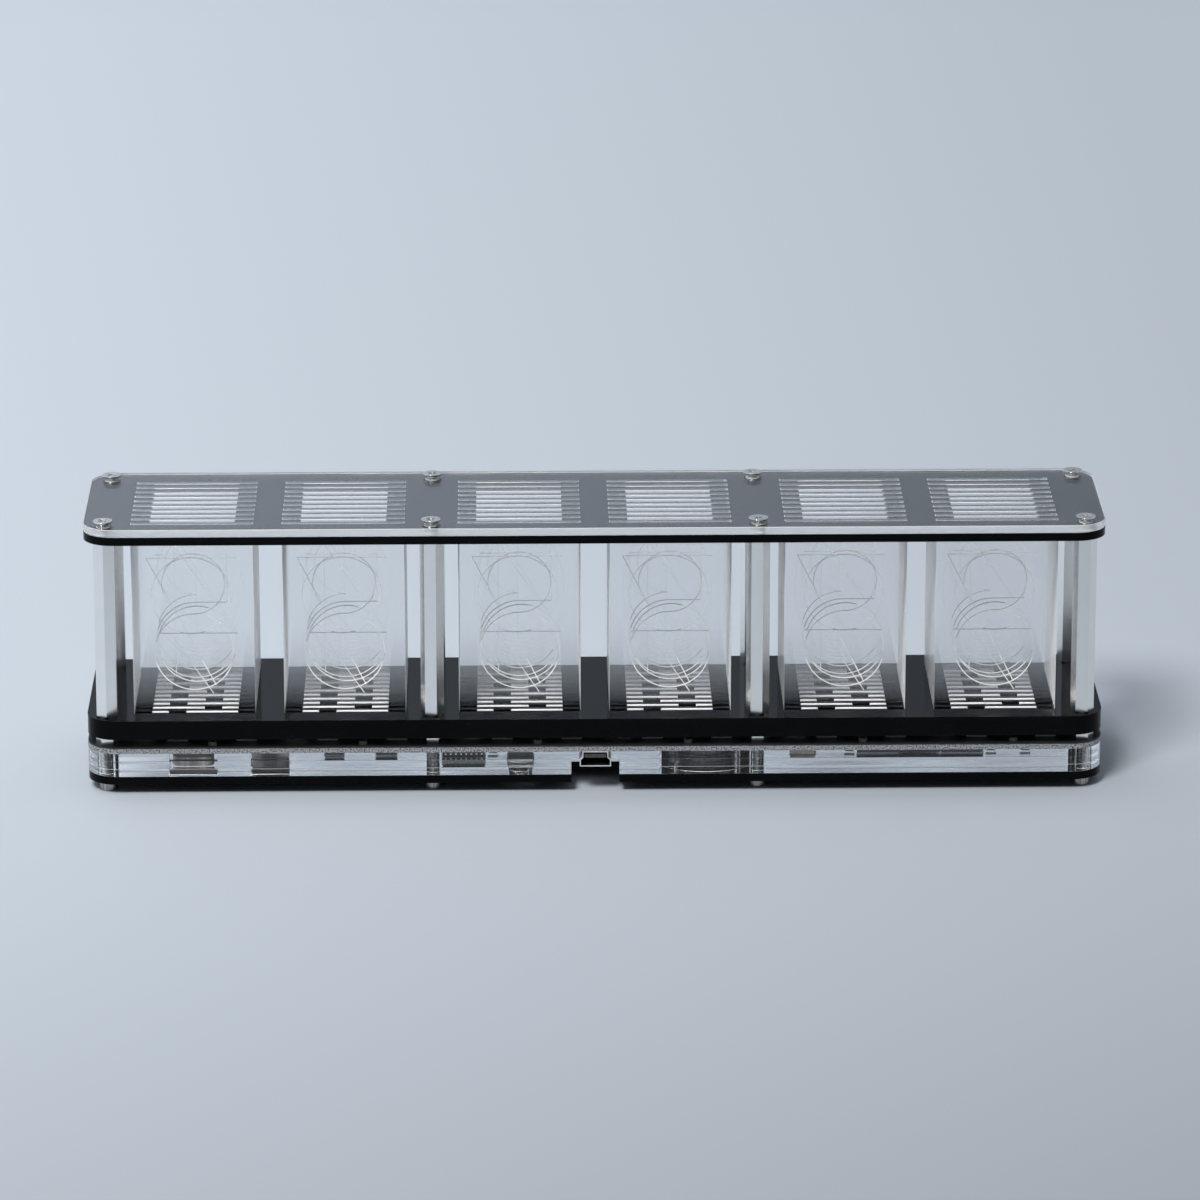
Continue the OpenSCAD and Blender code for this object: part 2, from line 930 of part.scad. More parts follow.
bottom_plate();
base_layer_lower();
base_layer_middle();
base_layer_upper();
circuit_board();
base_nuts();
lower_slot_plate();
upper_slot_plate();
standoffs();
comb_plate();
cover_plate();
cover_screws();
base_screws();
hours_tens_plates();
hours_units_plates();
minutes_tens_plates();
minutes_units_plates();
seconds_tens_plates();
seconds_units_plates();
hours_tens_leds();
hours_units_leds();
minutes_tens_leds();
minutes_units_leds();
seconds_tens_leds();
seconds_units_leds();
led_capacitors();
usb_shell();
usb_insulator();
usb_contacts();
key_base();
key_cover();
key_plunger();
key_dome();
key_leads();
cell_holder();
coin_cell();
cell_contact();
clock_chip();
driver_chips();
memory_chip();
controller_chip();
chip_leads();
regulator();
quartz_crystal();
buzzer();
tantalum_capacitor();
underside_capacitors();
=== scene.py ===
"""Looks of a six-digit edge-lit desk clock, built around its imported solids. Lengths are in metres."""
import json
import math

import bmesh
import bpy
from mathutils import Matrix, Vector


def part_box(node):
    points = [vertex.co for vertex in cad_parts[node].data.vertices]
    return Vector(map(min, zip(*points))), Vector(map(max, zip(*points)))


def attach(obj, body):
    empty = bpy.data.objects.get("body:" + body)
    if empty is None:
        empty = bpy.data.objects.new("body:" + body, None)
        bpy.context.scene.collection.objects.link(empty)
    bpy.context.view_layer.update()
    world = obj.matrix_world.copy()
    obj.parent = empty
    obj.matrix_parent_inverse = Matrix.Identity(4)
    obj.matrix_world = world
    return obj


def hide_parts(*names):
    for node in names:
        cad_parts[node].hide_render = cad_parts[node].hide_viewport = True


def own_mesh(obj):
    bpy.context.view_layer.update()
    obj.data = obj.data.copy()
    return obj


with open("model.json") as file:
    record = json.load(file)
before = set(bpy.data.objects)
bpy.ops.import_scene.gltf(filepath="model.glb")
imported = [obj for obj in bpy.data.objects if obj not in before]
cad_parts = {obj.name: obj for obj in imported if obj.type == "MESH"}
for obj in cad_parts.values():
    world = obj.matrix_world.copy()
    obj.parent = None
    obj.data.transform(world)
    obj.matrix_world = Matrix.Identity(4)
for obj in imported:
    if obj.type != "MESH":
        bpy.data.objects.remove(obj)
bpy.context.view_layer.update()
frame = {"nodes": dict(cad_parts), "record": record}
scene = bpy.context.scene
MM = 0.001

DIGITS = ("hours_tens", "hours_units", "minutes_tens", "minutes_units", "seconds_tens", "seconds_units")
BASE_LAYERS = ("base_layer_lower", "base_layer_middle", "base_layer_upper")

# Camera on the socket side: picture and focal length in pixels, sensor in millimetres, the point that it
# looks at, distance to it, angles, and how far the camera sees
PICTURE = 1200
FOCAL = 6645
SENSOR = 36
CAMERA_TARGET = Vector((1.54, 0, 41.68)) * MM
CAMERA_DISTANCE = 1648.8 * MM
CAMERA_PITCH = math.radians(17.35)
CAMERA_YAW = math.radians(-0.87)
CAMERA_ROLL = math.radians(-0.05)
CAMERA_REACH = 60

# Stage: half the floor's width, and the lamp's direction from the clock, distance, width and power in watts
FLOOR_HALF = 8
LAMP_TOWARDS = Vector((-0.35, -0.68, 1.0)).normalized()
LAMP_DISTANCE = 3
LAMP_SIZE = 1.0
LAMP_POWER = 64

# Meshes: distance at which points are one, angles up to which faces are one plane and from which edges stay
# sharp or are rounded, and parts of a normal along an axis from which a face counts as facing that way
ONE_POINT = 0.001 * MM
ONE_PLANE = math.radians(0.5)
SHARP = math.radians(35)
THREAD_SHARP = math.radians(30)
ROUNDED_FROM = math.radians(50)
FACING = 0.9
HALF_FACING = 0.5

# Clear sheet: play that keeps touching faces apart, rounding of its edges, and refraction
SKIN = 0.02 * MM
LAYER_EDGE = 0.06 * MM
COVER_EDGE = 0.16 * MM
PLATE_EDGE = 0.1 * MM
ACRYLIC_IOR = 1.49

# Numerals: number and thickness of a digit's plates, lowest and highest level of a numeral, radius of the
# large loops, half the width of the zero, the nine's shift to the reader's right, the foot of its stem, and
# the step of arcs
NUMERALS = 10
PLATE_T = 2 * MM
NUMERAL_LOW = 23.95 * MM
NUMERAL_HIGH = 58.9 * MM
LOOP_R = 9.75 * MM
ZERO_R = 11.1 * MM
NINE_X = 0.45 * MM
NINE_FOOT_X = -4.75 * MM
ARC_STEP = math.radians(5)

# Engraved line: width, depth, and the least cosine of half a turn, which keeps the points of corners short
LINE_W = 0.25 * MM
LINE_T = 0.03 * MM
MITRE = 0.35

# Look of the engraving, whose grey middle band is painted shade: levels between which it changes, drop of
# those levels with the depth of a plate, and the depths of near and far plates
MIDDLE_FROM = 25.5 * MM
MIDDLE_TO = 28 * MM
UPPER_FROM = 42 * MM
UPPER_TO = 48 * MM
SIGHT_SLOPE = 0.256
NEAR_Y = -15 * MM
FAR_Y = 5 * MM

# Its three looks in the order of their materials, the last numeral that is lost, and the parts of its length
# that a cut may rise and still count as level, or run sideways and still count as upright
# The dark look is painted shade
DARK, FAINT, LOST = range(3)
LAST_LOST = 2
LEVEL_SLOPE = 0.3
LEVEL_SLOPE_OF_EIGHT = 0.05
UPRIGHT_RUN = 0.3

# Metal: rounding of screw heads, socket and feet, and the feet's screws, which stand on whole centimetres
HEAD_EDGE = 0.14 * MM
SHELL_EDGE = 0.1 * MM
FOOT_EDGE = 0.15 * MM
FOOT_H = 2.5 * MM
RECESS_AF = 2 * MM
RECESS_H = 1.2 * MM
SCREW_R = 1.25 * MM
SCREW_GRID = 10 * MM
THREAD_PITCH = 0.45 * MM
THREAD_DEPTH = 0.24 * MM
ROUND_STEPS = 36

# Depth of a capacitor's ceramic below its tinned ends
CAP_SKIN = 0.04 * MM

# Depths where tones change: below the board's upper face for its rim, below its lower face for the painted
# shadow on the can
RIM_TONES = (0.45 * MM, 0.3 * MM)
CAN_TONES = (2.0 * MM, 1.6 * MM)
BAND_BLUR = 0.05 * MM


# Node helpers

def new_material(name):
    """A material with its node tree and its main shader."""
    mat = bpy.data.materials.new(name)
    mat.use_nodes = True
    tree = mat.node_tree
    return mat, tree, tree.nodes["Principled BSDF"]


def put(tree, value, socket):
    """Gives a socket a number, or the value of another socket."""
    if isinstance(value, bpy.types.NodeSocket):
        tree.links.new(value, socket)
    else:
        socket.default_value = value


def calculate(tree, operation, *values):
    """The result of one operation on numbers or sockets."""
    node = tree.nodes.new("ShaderNodeMath")
    node.operation = operation
    for value, socket in zip(values, node.inputs):
        put(tree, value, socket)
    return node.outputs["Value"]


def mix_colours(tree, blend, factor, a, b):
    """Two colours blended by a factor."""
    node = tree.nodes.new("ShaderNodeMix")
    node.data_type = "RGBA"
    node.blend_type = blend
    put(tree, factor, node.inputs["Factor"])
    tree.links.new(a, node.inputs["A"])
    tree.links.new(b, node.inputs["B"])
    return node.outputs["Result"]


def mix_shaders(tree, factor, first, second):
    """Shows a mix of two shaders as the material's surface."""
    node = tree.nodes.new("ShaderNodeMixShader")
    tree.links.new(factor, node.inputs["Fac"])
    tree.links.new(first, node.inputs[1])
    tree.links.new(second, node.inputs[2])
    tree.links.new(node.outputs["Shader"], tree.nodes["Material Output"].inputs["Surface"])


def see_through(tree, colour):
    """A shader that lets light straight through, tinted by a colour."""
    node = tree.nodes.new("ShaderNodeBsdfTransparent")
    node.inputs["Color"].default_value = (*colour, 1)
    return node.outputs["BSDF"]


def noise(tree, scale, detail=3.0, upright=1.0):
    """A noise value in the object's own space, with cycles per metre, drawn out upwards where upright < 1."""
    where = tree.nodes.new("ShaderNodeTexCoord")
    stretch = tree.nodes.new("ShaderNodeMapping")
    stretch.inputs["Scale"].default_value = (1, 1, upright)
    tex = tree.nodes.new("ShaderNodeTexNoise")
    tex.inputs["Scale"].default_value = scale
    tex.inputs["Detail"].default_value = detail
    tree.links.new(where.outputs["Object"], stretch.inputs["Vector"])
    tree.links.new(stretch.outputs["Vector"], tex.inputs["Vector"])
    return tex.outputs["Fac"]


def split_axes(tree, vector):
    """The X, Y and Z of a vector."""
    split = tree.nodes.new("ShaderNodeSeparateXYZ")
    tree.links.new(vector, split.inputs["Vector"])
    return split.outputs


def along(tree, axis):
    """The place along one axis of the object's own space, in metres."""
    where = tree.nodes.new("ShaderNodeTexCoord")
    return split_axes(tree, where.outputs["Object"])[axis]


def ramp(tree, value, low, high, start=0.35, stop=0.65):
    """Colour between low and high by a value."""
    node = tree.nodes.new("ShaderNodeValToRGB")
    node.color_ramp.elements[0].position = start
    node.color_ramp.elements[0].color = (*low, 1)
    node.color_ramp.elements[1].position = stop
    node.color_ramp.elements[1].color = (*high, 1)
    tree.links.new(value, node.inputs["Fac"])
    return node.outputs["Color"]


def spread_between(tree, value, start, stop, low, high):
    """A value's range from start to stop, stretched between low and high, which are numbers or sockets."""
    node = tree.nodes.new("ShaderNodeMapRange")
    node.inputs["From Min"].default_value = start
    node.inputs["From Max"].default_value = stop
    put(tree, low, node.inputs["To Min"])
    put(tree, high, node.inputs["To Max"])
    tree.links.new(value, node.inputs["Value"])
    return node.outputs["Result"]


def spread(tree, value, low, high):
    """The middle of a noise value's range stretched between low and high."""
    return spread_between(tree, value, 0.3, 0.7, low, high)


def bump(tree, shader, height, depth):
    """Makes a shader's surface uneven by a height between 0 and 1, which stands for the depth."""
    node = tree.nodes.new("ShaderNodeBump")
    node.inputs["Distance"].default_value = depth
    tree.links.new(height, node.inputs["Height"])
    tree.links.new(node.outputs["Normal"], shader.inputs["Normal"])


# Materials

def surface(name, low, high, rough, scale, metallic=0.0, specular=0.5, depth=0.0):
    """An opaque material whose colour and roughness wander by noise."""
    mat, tree, shader = new_material(name)
    value = noise(tree, scale)
    tree.links.new(ramp(tree, value, low, high), shader.inputs["Base Color"])
    tree.links.new(spread(tree, value, *rough), shader.inputs["Roughness"])
    shader.inputs["Metallic"].default_value = metallic
    shader.inputs["Specular IOR Level"].default_value = specular
    if depth:
        bump(tree, shader, noise(tree, 3 * scale), depth)
    return mat


def clear(name, tint, rough, shade, transmission=1.0):
    """Clear acrylic that refracts what is seen through it and lets the lamp's light straight through."""
    mat, tree, shader = new_material(name)
    shader.inputs["Base Color"].default_value = (*tint, 1)
    shader.inputs["IOR"].default_value = ACRYLIC_IOR
    shader.inputs["Transmission Weight"].default_value = transmission
    tree.links.new(spread(tree, noise(tree, 90), *rough), shader.inputs["Roughness"])
    path = tree.nodes.new("ShaderNodeLightPath")
    mix_shaders(tree, path.outputs["Is Shadow Ray"], shader.outputs["BSDF"], see_through(tree, shade))
    return mat


def board_material():
    """Black solder mask on the faces of the board and round its top rim, pale speckled laminate below."""
    mat, tree, shader = new_material("board")
    geometry = tree.nodes.new("ShaderNodeNewGeometry")
    flat = calculate(tree, "ABSOLUTE", split_axes(tree, geometry.outputs["True Normal"])["Z"])
    mask = ramp(tree, noise(tree, 400), (0.010, 0.011, 0.012), (0.016, 0.018, 0.019))
    laminate = ramp(tree, noise(tree, 2600, 1), (0.06, 0.06, 0.06), (0.42, 0.43, 0.44), 0.38, 0.56)
    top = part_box("circuit_board")[1].z
    start, stop = (top - depth for depth in RIM_TONES)
    rim = spread_between(tree, along(tree, "Z"), start, stop, 0, 1)
    colour = mix_colours(tree, "MIX", calculate(tree, "ADD", flat, rim), laminate, mask)
    tree.links.new(colour, shader.inputs["Base Color"])
    shader.inputs["Roughness"].default_value = 0.45
    return mat


def turned_metal():
    """Nickel of the feet, streaked along their height."""
    mat, tree, shader = new_material("turned_nickel")
    streaks = noise(tree, 1800, 2, 0.02)
    colour = ramp(tree, streaks, (0.26, 0.25, 0.24), (0.52, 0.50, 0.47), 0.4, 0.6)
    tree.links.new(colour, shader.inputs["Base Color"])
    shader.inputs["Metallic"].default_value = 1
    shader.inputs["Roughness"].default_value = 0.3
    return mat


def engraved(name, grey, low_veil, middle_veil, upper_veil):
    """Roughened cuts, white near the deck and on top, and grey between with painted shade.

    A veil is the share of a cut that is seen through. The middle and upper ones are given for near and far
    plates. Levels drop with a plate's depth, so that they meet the far edge of the deck as it is seen.
    """
    white = (1.0, 0.97, 0.94)
    mat = clear(name, white, (0.8, 0.95), (0.8, 0.8, 0.8), 0.5)
    tree = mat.node_tree
    scattered = tree.nodes["Material Output"].inputs["Surface"].links[0].from_socket
    depth = along(tree, "Y")
    level = calculate(tree, "MULTIPLY_ADD", depth, SIGHT_SLOPE, along(tree, "Z"))
    rise = spread_between(tree, level, MIDDLE_FROM, MIDDLE_TO, 0, 1)
    fall = spread_between(tree, level, UPPER_FROM, UPPER_TO, 0, -1)
    # The grey between the levels is painted shade
    tone = ramp(tree, calculate(tree, "ADD", rise, fall), white, (grey, grey, grey), 0, 1)
    tree.links.new(tone, tree.nodes["Principled BSDF"].inputs["Base Color"])
    in_middle = spread_between(tree, depth, NEAR_Y, FAR_Y, *middle_veil)
    higher_up = spread_between(tree, depth, NEAR_Y, FAR_Y, *upper_veil)
    veil = spread_between(tree, level, MIDDLE_FROM, MIDDLE_TO, low_veil, in_middle)
    veil = spread_between(tree, level, UPPER_FROM, UPPER_TO, veil, higher_up)
    mix_shaders(tree, veil, scattered, see_through(tree, (1, 1, 1)))
    return mat


def banded(name, below, above, depth, metallic=0.0):
    """Two greys that meet at a depth under the circuit board; for the leads and the switch's cover the grey
    near the board is painted shade.
    """
    mat, tree, shader = new_material(name)
    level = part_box("circuit_board")[0].z - depth
    height = spread_between(tree, along(tree, "Z"), level - BAND_BLUR, level + BAND_BLUR, 0, 1)
    tree.links.new(ramp(tree, height, (below,) * 3, (above,) * 3, 0, 1), shader.inputs["Base Color"])
    tree.links.new(spread(tree, noise(tree, 900), 0.3, 0.5), shader.inputs["Roughness"])
    shader.inputs["Metallic"].default_value = metallic
    return mat


def can_material():
    """A drawn can, streaked along its height, and dark next to the board with painted shadow."""
    mat, tree, shader = new_material("can")
    start, stop = (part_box("circuit_board")[0].z - depth for depth in CAN_TONES)
    streaks = ramp(tree, noise(tree, 700, 2, 0.03), (0.20, 0.17, 0.15), (0.52, 0.47, 0.42))
    height = spread_between(tree, along(tree, "Z"), start, stop, 0, 1)
    shadow = ramp(tree, height, (1, 1, 1), (0.06, 0.06, 0.06), 0, 1)
    tree.links.new(mix_colours(tree, "MULTIPLY", 1, streaks, shadow), shader.inputs["Base Color"])
    shader.inputs["Metallic"].default_value = 0.5
    shader.inputs["Roughness"].default_value = 0.35
    return mat


def sounder_material():
    """Dark moulding with painted reflection of the curved pocket walls, which makes it lighter towards its
    sides.
    """
    mat, tree, shader = new_material("sounder")
    low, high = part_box("buzzer")
    aside = calculate(tree, "ABSOLUTE", spread_between(tree, along(tree, "X"), low.x, high.x, -1, 1))
    colour = ramp(tree, aside, (0.006, 0.006, 0.006), (0.32, 0.31, 0.30), 0.3, 1)
    tree.links.new(colour, shader.inputs["Base Color"])
    tree.links.new(spread(tree, noise(tree, 900), 0.3, 0.5), shader.inputs["Roughness"])
    return mat


CLEAR = clear("clear_acrylic", (0.9965, 0.997, 0.9975), (0.0, 0.012), (0.97, 0.975, 0.98))
COVER_RIM = clear("cover_rim", (0.78, 0.80, 0.82), (0.08, 0.2), (0.9, 0.9, 0.9), 0.62)
CUT_EDGE = clear("cut_edge", (0.98, 0.975, 0.975), (0.05, 0.12), (0.5, 0.5, 0.5), 0.92)
SIDE_EDGE = clear("side_edge", (0.98, 0.975, 0.97), (0.1, 0.25), (0.5, 0.5, 0.5), 0.75)
ARRIS = clear("arris", (0.92, 0.90, 0.89), (0.4, 0.55), (0.8, 0.8, 0.8), 0.3)
SHOULDER = clear("shoulder", (0.55, 0.545, 0.545), (0.4, 0.55), (0.8, 0.8, 0.8), 0.15)
ENGRAVINGS = [
    engraved("engraving", 0.5, 0.05, (0.14, 0.52), (0.65, 0.77)),
    engraved("engraving_faint", 1.0, 0.05, (0.84, 0.91), (0.65, 0.88)),
    engraved("engraving_lost", 1.0, 0.91, (0.91, 0.91), (0.88, 0.88)),
]
BLACK = surface("black_acrylic", (0.001, 0.001, 0.0012), (0.002, 0.002, 0.0024), (0.04, 0.1), 60, 0, 0.07)
NICKEL = surface("nickel", (0.80, 0.79, 0.77), (0.90, 0.89, 0.87), (0.1, 0.2), 250, 1, depth=0.002 * MM)
SATIN = surface(
    "satin_nickel", (0.89, 0.89, 0.88), (0.93, 0.93, 0.92), (0.2, 0.26), 250, 1, depth=0.0004 * MM
)
TURNED = turned_metal()
TINNED = surface("tinned", (0.62, 0.61, 0.59), (0.76, 0.75, 0.72), (0.2, 0.4), 500, 1, depth=0.01 * MM)
# Tin darkened as painted shade, for the inside of the socket's shell and the sides of the capacitors' ends
SHADED_TIN = surface("shaded_tin", (0.05, 0.05, 0.05), (0.09, 0.09, 0.085), (0.4, 0.6), 500, 1)
SHELL = surface("shell", (0.78, 0.77, 0.75), (0.90, 0.89, 0.87), (0.3, 0.45), 500, 0.5, depth=0.005 * MM)
LAMP = surface("lamp", (0.78, 0.77, 0.72), (0.88, 0.87, 0.83), (0.3, 0.45), 800)
CERAMIC = surface("ceramic", (0.06, 0.05, 0.04), (0.10, 0.085, 0.07), (0.5, 0.7), 900)
INSULATOR = surface("insulator", (0.05, 0.05, 0.052), (0.09, 0.09, 0.092), (0.4, 0.6), 900, 0, 0.3, 0.01 * MM)
MOULDED = surface("moulded", (0.005, 0.005, 0.006), (0.01, 0.01, 0.011), (0.4, 0.6), 900, 0, 0.15, 0.01 * MM)
GLOSSY_MOULDED = surface("glossy_moulded", (0.010, 0.010, 0.011), (0.016, 0.016, 0.017), (0.15, 0.3), 500)
TANTALUM = surface("tantalum", (0.40, 0.37, 0.30), (0.52, 0.48, 0.40), (0.45, 0.6), 700)
SLOT_MATERIAL = {
    "black_acrylic": BLACK,
    "board": board_material(),
    "buzzer": sounder_material(),
    "can": can_material(),
    "cell": TINNED,
    "ceramic": CERAMIC,
    "chip": MOULDED,
    "clear_acrylic": CLEAR,
    "contacts": TINNED,
    "holder": GLOSSY_MOULDED,
    "key_metal": TINNED,
    "key_moulding": banded("key_base", below=0.008, above=0.6, depth=1.1 * MM),
    "key_plunger": banded("key_plunger", below=0.2, above=0.6, depth=4.9 * MM),
    "lamp": LAMP,
    "nickel": NICKEL,
    "socket_insulator": INSULATOR,
    "socket_shell": TINNED,
    "tantalum": TANTALUM,
}
# Nodes that look different from the rest of their slot; the leads and the switch's cover are dark with
# painted shade next to the board
NODE_MATERIAL = {
    "chip_leads": banded("leads", below=0.8, above=0.06, depth=1.15 * MM, metallic=0.8),
    "key_cover": banded("key_cover", below=0.75, above=0.02, depth=2.5 * MM, metallic=0.5),
    "standoffs": SATIN,
}


def dress_nodes():
    """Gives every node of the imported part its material."""
    for part in frame["record"]["subparts"]:
        slots = frame["nodes"][part["node"]].data.materials
        slots.clear()
        slots.append(NODE_MATERIAL.get(part["node"], SLOT_MATERIAL[part["material_slot"]]))


# Pieces that stand for nodes or are added to them

def eased_mesh(node, skin):
    """A copy of a node's mesh with its flat faces joined up and drawn in by a skin."""
    bm = bmesh.new()
    bm.from_mesh(frame["nodes"][node].data)
    bmesh.ops.remove_doubles(bm, verts=bm.verts, dist=ONE_POINT)
    bmesh.ops.dissolve_limit(bm, angle_limit=ONE_PLANE, verts=bm.verts, edges=bm.edges)
    bm.normal_update()
    moves = [v.normal * (v.calc_shell_factor() * skin) for v in bm.verts]
    for v, move in zip(bm.verts, moves):
        v.co -= move
    bm.verts.index_update()
    mesh = bpy.data.meshes.new(node + "_eased")
    mesh.from_pydata([v.co[:] for v in bm.verts], [], [[v.index for v in f.verts] for f in bm.faces])
    bm.free()
    smooth(mesh, SHARP)
    return mesh


def smooth(mesh, sharp_from):
    """Shades a mesh smoothly but for its sharp edges."""
    mesh.polygons.foreach_set("use_smooth", [True] * len(mesh.polygons))
    mesh.set_sharp_from_angle(angle=sharp_from)


def new_mesh(name, bm):
    """A mesh from a finished bmesh, with its faces turned outwards."""
    bmesh.ops.recalc_face_normals(bm, faces=bm.faces)
    mesh = bpy.data.meshes.new(name)
    bm.to_mesh(mesh)
    bm.free()
    return mesh


def show(name, mesh, materials):
    """Adds a piece to the scene that rides on the clock."""
    for mat in materials:
        mesh.materials.append(mat)
    obj = bpy.data.objects.new(name, mesh)
    scene.collection.objects.link(obj)
    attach(obj, "clock")
    return obj


def round_edges(obj, width, segments=2):
    """Bevels a piece's sharp edges."""
    mod = obj.modifiers.new("edges", "BEVEL")
    mod.width = width
    mod.segments = segments
    mod.limit_method = "ANGLE"
    mod.angle_limit = ROUNDED_FROM
    mod.harden_normals = segments > 1
    return mod


# Clear pieces, drawn in by a skin so that no two faces touch

def clear_sheet(node, edge, width):
    """A clear sheet with a material of its own on the cut edges, and thin bright lines where they end."""
    mesh = eased_mesh(node, SKIN)
    materials = [CLEAR, edge, ARRIS]
    obj = show(node + "_sheet", mesh, materials)
    for face in mesh.polygons:
        face.material_index = int(abs(face.normal.z) < HALF_FACING)
    round_edges(obj, width, 1).material = materials.index(ARRIS)
    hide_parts(node)


def numeral_plates(digit):
    """A digit's ten plates, clear on their large faces and frosted where they were cut out."""
    node = digit + "_plates"
    mesh = eased_mesh(node, SKIN)
    materials = [CLEAR, CUT_EDGE, ARRIS, SHOULDER, SIDE_EDGE]
    obj = show(digit + "_sheets", mesh, materials)
    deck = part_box("upper_slot_plate")[1].z
    for face in mesh.polygons:
        if face.normal.z < -FACING and abs(face.center.z - deck) < 2 * SKIN:
            material = SHOULDER
        elif abs(face.normal.x) > FACING:
            material = SIDE_EDGE
        elif abs(face.normal.y) < FACING:
            material = CUT_EDGE
        else:
            material = CLEAR
        face.material_index = materials.index(material)
    round_edges(obj, PLATE_EDGE, 1).material = materials.index(ARRIS)
    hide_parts(node)


# Engraved numerals, drawn as they are read: x to the reader's right and y up

def arc(centre, radius, start, stop):
    """Points of an arc between two angles in degrees, counted anticlockwise from the reader's right."""
    a, b = math.radians(start), math.radians(stop)
    steps = max(2, round(abs(b - a) / ARC_STEP))
    turn = [a + (b - a) * i / steps for i in range(steps + 1)]
    return [Vector((centre[0] + radius * math.cos(t), centre[1] + radius * math.sin(t))) for t in turn]


def points(*pairs):
    """Points given in millimetres."""
    return [Vector(p) * MM for p in pairs]


LOOP_LOW = Vector((0, NUMERAL_LOW + LOOP_R))
LOOP_HIGH = Vector((0, NUMERAL_HIGH - LOOP_R))
SMALL_R = (NUMERAL_HIGH - NUMERAL_LOW) / 2 - LOOP_R
SMALL_LOOP = Vector((0, NUMERAL_HIGH - SMALL_R))


def nine():
    """A loop with a straight stem that leaves it along the tangent on the reader's right."""
    stem_foot = Vector((NINE_FOOT_X, NUMERAL_LOW))
    middle = LOOP_HIGH + Vector((NINE_X, 0))
    away = middle - stem_foot
    lean = math.degrees(math.atan2(away.y, away.x))
    touch = lean - 180 + math.degrees(math.acos(LOOP_R / away.length))
    return [arc(middle, LOOP_R, touch, touch + 360) + [stem_foot]]


def turned(strokes):
    """The same strokes upside down."""
    middle = NUMERAL_LOW + NUMERAL_HIGH
    return [[Vector((-p.x, middle - p.y)) for p in stroke] for stroke in strokes]


def zero():
    """A tall oval."""
    middle = (NUMERAL_LOW + NUMERAL_HIGH) / 2
    stretch = (NUMERAL_HIGH - NUMERAL_LOW) / 2 / ZERO_R
    return [[Vector((p.x, middle + p.y * stretch)) for p in arc((0, 0), ZERO_R, 0, 360)]]


def numeral_strokes():
    """Strokes of the numerals 0 to 9."""
    low, high = NUMERAL_LOW / MM, NUMERAL_HIGH / MM
    waist = low + 2 * LOOP_R / MM
    one = [points((-5.5, high - 6), (0.4, high), (0.4, low))]
    two = [arc(LOOP_HIGH, LOOP_R, 165, -40) + points((-9.4, low), (9.6, low))]
    three = [arc(SMALL_LOOP, SMALL_R, 150, -90), arc(LOOP_LOW, LOOP_R, 90, -150)]
    four = [points((5.2, low), (5.2, 60.3), (-10.2, 34.4), (9.4, 34.4))]
    five = [points((9.7, 55.7), (-7.9, 55.7), (-7.9, waist)) + arc(LOOP_LOW, LOOP_R, 90, -150)]
    seven = [points((-10.4, 56.8), (11.6, 56.8), (-5.1, low))]
    eight = [arc(SMALL_LOOP, SMALL_R, -90, 270), arc(LOOP_LOW, LOOP_R, 90, 450)]
    return [zero(), one, two, three, four, five, turned(nine()), seven, eight, nine()]


def engraving_look(numeral, run):
    """The look of a straight cut: dark with painted shade if it is level or falls to the reader's right, lost
    if it lies deep.

    The nine, which lies nearest, is dark only where it is level. Less of the eight counts as level, because
    its loops touch at the waist.
    """
    if numeral <= LAST_LOST:
        return LOST
    slope = LEVEL_SLOPE_OF_EIGHT if numeral == 8 else LEVEL_SLOPE
    level = abs(run.y) < slope * run.length
    falls = run.x * run.y < 0 and abs(run.x) > UPRIGHT_RUN * run.length and numeral < 9
    return DARK if level or falls else FAINT


def stroke_mesh(bm, stroke, numeral, face_y, middle_x):
    """Adds one engraved line as a thin flat band on a plate's face."""
    closed = (stroke[0] - stroke[-1]).length < ONE_POINT
    pts = stroke[:-1] if closed else stroke
    count = len(pts)
    rings = []
    for i, p in enumerate(pts):
        before = pts[i - 1] if closed or i else None
        after = pts[(i + 1) % count] if closed or i < count - 1 else None
        arriving = (p - before).normalized() if before is not None else (after - p).normalized()
        leaving = (after - p).normalized() if after is not None else arriving
        heading = (arriving + leaving).normalized()
        across = Vector((-heading.y, heading.x))
        reach = LINE_W / 2 / max(MITRE, heading.dot(leaving))
        corners = []
        for sign, y in ((-1, 0), (1, 0), (1, -LINE_T), (-1, -LINE_T)):
            q = p + across * sign * reach
            corners.append(bm.verts.new((middle_x - q.x, face_y + y, q.y)))
        rings.append(corners)
    for i in range(count if closed else count - 1):
        following = (i + 1) % count
        a, b = rings[i], rings[following]
        look = engraving_look(numeral, pts[following] - pts[i])
        for k in range(4):
            face = bm.faces.new((a[k], a[(k + 1) % 4], b[(k + 1) % 4], b[k]))
            face.material_index = look
    if not closed:
        bm.faces.new(rings[0][::-1])
        bm.faces.new(rings[-1])


def engraving(digit):
    """The numerals 9 to 0 of a digit, each on the socket side of its plate."""
    lowest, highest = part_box(digit + "_plates")
    middle_x = (lowest.x + highest.x) / 2
    pitch = (highest.y - lowest.y - PLATE_T) / (NUMERALS - 1)
    bm = bmesh.new()
    for numeral, strokes in enumerate(numeral_strokes()):
        face_y = lowest.y + (NUMERALS - 1 - numeral) * pitch
        for stroke in strokes:
            stroke_mesh(bm, stroke, numeral, face_y, middle_x)
    name = digit + "_engraving"
    show(name, new_mesh(name, bm), ENGRAVINGS)


# Metal pieces

def screw_axes(node):
    """The axes of a node's screws, each the nearest point of the grid to the screw's own points."""
    vertices = frame["nodes"][node].data.vertices
    axes = {(round(v.co.x / SCREW_GRID), round(v.co.y / SCREW_GRID)) for v in vertices}
    return [Vector((x, y, 0)) * SCREW_GRID for x, y in sorted(axes)]


